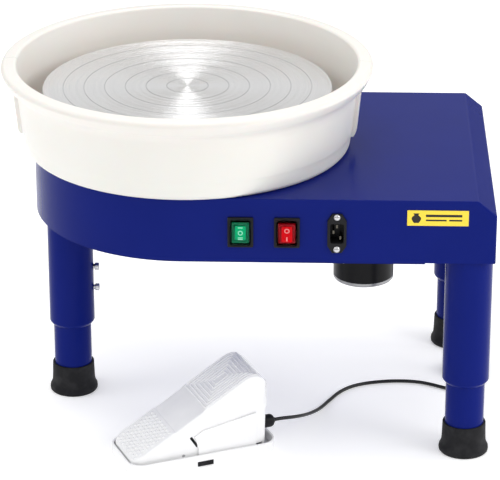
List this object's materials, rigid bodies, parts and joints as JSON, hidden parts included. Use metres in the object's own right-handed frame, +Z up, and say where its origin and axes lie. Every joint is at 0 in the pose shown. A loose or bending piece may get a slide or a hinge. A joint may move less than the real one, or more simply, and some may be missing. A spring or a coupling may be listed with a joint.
{
  "type": "pottery wheel",
  "caption": "Belt-driven pottery wheel: round-ended sheet-metal body on telescoping legs, turned wheel head in a split splash basin, and a corded foot pedal.",
  "frame": {"origin": "on the floor, under the middle of the outline of the wheel and its pedal (without the cord)", "axes": "+X along the body from the wheel to the square end, +Y to its back, +Z up; the controls face -Y"},
  "size_m": [0.6024, 0.4646, 0.44],
  "materials": {
    "blue_paint": "gloss",
    "alloy": "turned satin",
    "steel": "satin",
    "cast": "rough",
    "black_paint": "satin",
    "bare_end": "satin",
    "cream_plastic": "gloss",
    "white_plastic": "gloss",
    "black_plastic": "satin",
    "green_plastic": "gloss",
    "red_plastic": "gloss",
    "clear_plastic": "clear gloss",
    "yellow_label": "satin",
    "rubber": "matte",
    "belt": "matte",
    "brass": "satin",
    "box": "satin",
    "wire": "satin",
    "pot_blue": "satin",
    "cord": "satin"
  },
  "bodies": {
    "frame": {"body_shell": "blue_paint", "base_plate": "blue_paint", "leg_bridge": "blue_paint", "body_screws": "steel", "name_plate": "yellow_label", "bearing_housing": "cast", "bearing_outer_rings": "steel", "drive_belt": "belt", "motor_can": "black_paint", "motor_end_ring": "bare_end", "motor_plate": "steel", "control_box": "box", "wiring_loom": "wire", "green_switch_body": "black_plastic", "green_switch_cap": "clear_plastic", "red_switch_body": "black_plastic", "red_switch_cap": "clear_plastic", "inlet_body": "black_plastic", "inlet_pins": "brass", "inlet_screws": "steel", "left_leg_tube": "blue_paint", "right_front_leg_tube": "blue_paint", "right_rear_leg_tube": "blue_paint", "pedal_base": "white_plastic", "pedal_feet": "rubber", "pedal_pin": "steel", "pedal_spring": "steel", "pedal_pot": "pot_blue", "pedal_gland": "black_plastic", "body_gland": "black_plastic", "cord_run": "cord", "cord_coil": "cord", "cord_riser": "cord"},
    "wheel": {"wheel_head": "alloy", "wheel_hub": "alloy", "hub_screws": "steel", "spindle": "steel", "driven_pulley": "alloy"},
    "motor_rotor": {"motor_shaft": "steel", "motor_pulley": "alloy"},
    "front_basin": {"basin_front": "cream_plastic", "basin_front_floor": "cream_plastic"},
    "rear_basin": {"basin_rear": "cream_plastic", "basin_rear_floor": "cream_plastic"},
    "direction_rocker": {"green_rocker": "green_plastic"},
    "power_rocker": {"red_rocker": "red_plastic"},
    "treadle": {"treadle": "white_plastic"},
    "pot_pinion": {"pot_pinion": "white_plastic"},
    "left_leg": {"left_leg_slide": "blue_paint", "left_foot": "rubber"},
    "left_upper_screw": {"left_upper_screw": "steel"},
    "left_lower_screw": {"left_lower_screw": "steel"},
    "right_front_leg": {"right_front_leg_slide": "blue_paint", "right_front_foot": "rubber"},
    "right_front_upper_screw": {"right_front_upper_screw": "steel"},
    "right_front_lower_screw": {"right_front_lower_screw": "steel"},
    "right_rear_leg": {"right_rear_leg_slide": "blue_paint", "right_rear_foot": "rubber"},
    "right_rear_upper_screw": {"right_rear_upper_screw": "steel"},
    "right_rear_lower_screw": {"right_rear_lower_screw": "steel"}
  },
  "joints": [
    {"name": "wheel_spin", "type": "hinge", "parent": "frame", "child": "wheel", "pos_m": [-0.07195, 0.0093, 0.4], "axis": [0, 0, 1], "continuous": true},
    {"name": "motor_spin", "type": "hinge", "parent": "frame", "child": "motor_rotor", "pos_m": [0.14405, 0.0093, 0.26], "axis": [0, 0, 1], "continuous": true},
    {"name": "front_basin_pull", "type": "slide", "parent": "frame", "child": "front_basin", "axis": [0, -1, 0], "range_m": [0, 0.2]},
    {"name": "rear_basin_pull", "type": "slide", "parent": "frame", "child": "rear_basin", "axis": [0, 1, 0], "range_m": [0, 0.2]},
    {"name": "direction_rocker_tilt", "type": "hinge", "parent": "frame", "child": "direction_rocker", "pos_m": [-0.00195, -0.1727, 0.293], "axis": [1, 0, 0], "range_deg": [-8, 8]},
    {"name": "power_rocker_tilt", "type": "hinge", "parent": "frame", "child": "power_rocker", "pos_m": [0.05205, -0.1727, 0.293], "axis": [1, 0, 0], "range_deg": [-16, 0]},
    {"name": "treadle_press", "type": "hinge", "parent": "frame", "child": "treadle", "pos_m": [-0.08406, -0.16998, 0.014], "axis": [-0.4067, 0.9135, 0], "range_deg": [0, 6], "stiffness_Nm_per_rad": 20, "springref_deg": -2.86, "deforming": ["pedal_spring"]},
    {"name": "pot_turn", "type": "hinge", "parent": "frame", "child": "pot_pinion", "pos_m": [-0.02558, -0.14394, 0.02529], "axis": [-0.4067, 0.9135, 0], "range_deg": [-52, 2]},
    {"name": "left_leg_height", "type": "slide", "parent": "frame", "child": "left_leg", "axis": [0, 0, -1], "range_m": [-0.028, 0.04]},
    {"name": "left_upper_screw_out", "type": "slide", "parent": "frame", "child": "left_upper_screw", "axis": [1, 0, 0], "range_m": [0, 0.004]},
    {"name": "left_lower_screw_out", "type": "slide", "parent": "frame", "child": "left_lower_screw", "axis": [1, 0, 0], "range_m": [0, 0.004]},
    {"name": "right_front_leg_height", "type": "slide", "parent": "frame", "child": "right_front_leg", "axis": [0, 0, -1], "range_m": [-0.028, 0.04]},
    {"name": "right_front_upper_screw_out", "type": "slide", "parent": "frame", "child": "right_front_upper_screw", "axis": [0, 1, 0], "range_m": [0, 0.004]},
    {"name": "right_front_lower_screw_out", "type": "slide", "parent": "frame", "child": "right_front_lower_screw", "axis": [0, 1, 0], "range_m": [0, 0.004]},
    {"name": "right_rear_leg_height", "type": "slide", "parent": "frame", "child": "right_rear_leg", "axis": [0, 0, -1], "range_m": [-0.028, 0.04]},
    {"name": "right_rear_upper_screw_out", "type": "slide", "parent": "frame", "child": "right_rear_upper_screw", "axis": [0, -1, 0], "range_m": [0, 0.004]},
    {"name": "right_rear_lower_screw_out", "type": "slide", "parent": "frame", "child": "right_rear_lower_screw", "axis": [0, -1, 0], "range_m": [0, 0.004]}
  ],
  "couplings": [
    {"joint": "motor_spin", "follows": "wheel_spin", "ratio": 4.5},
    {"joint": "pot_turn", "follows": "treadle_press", "ratio": -8.2857}
  ]
}
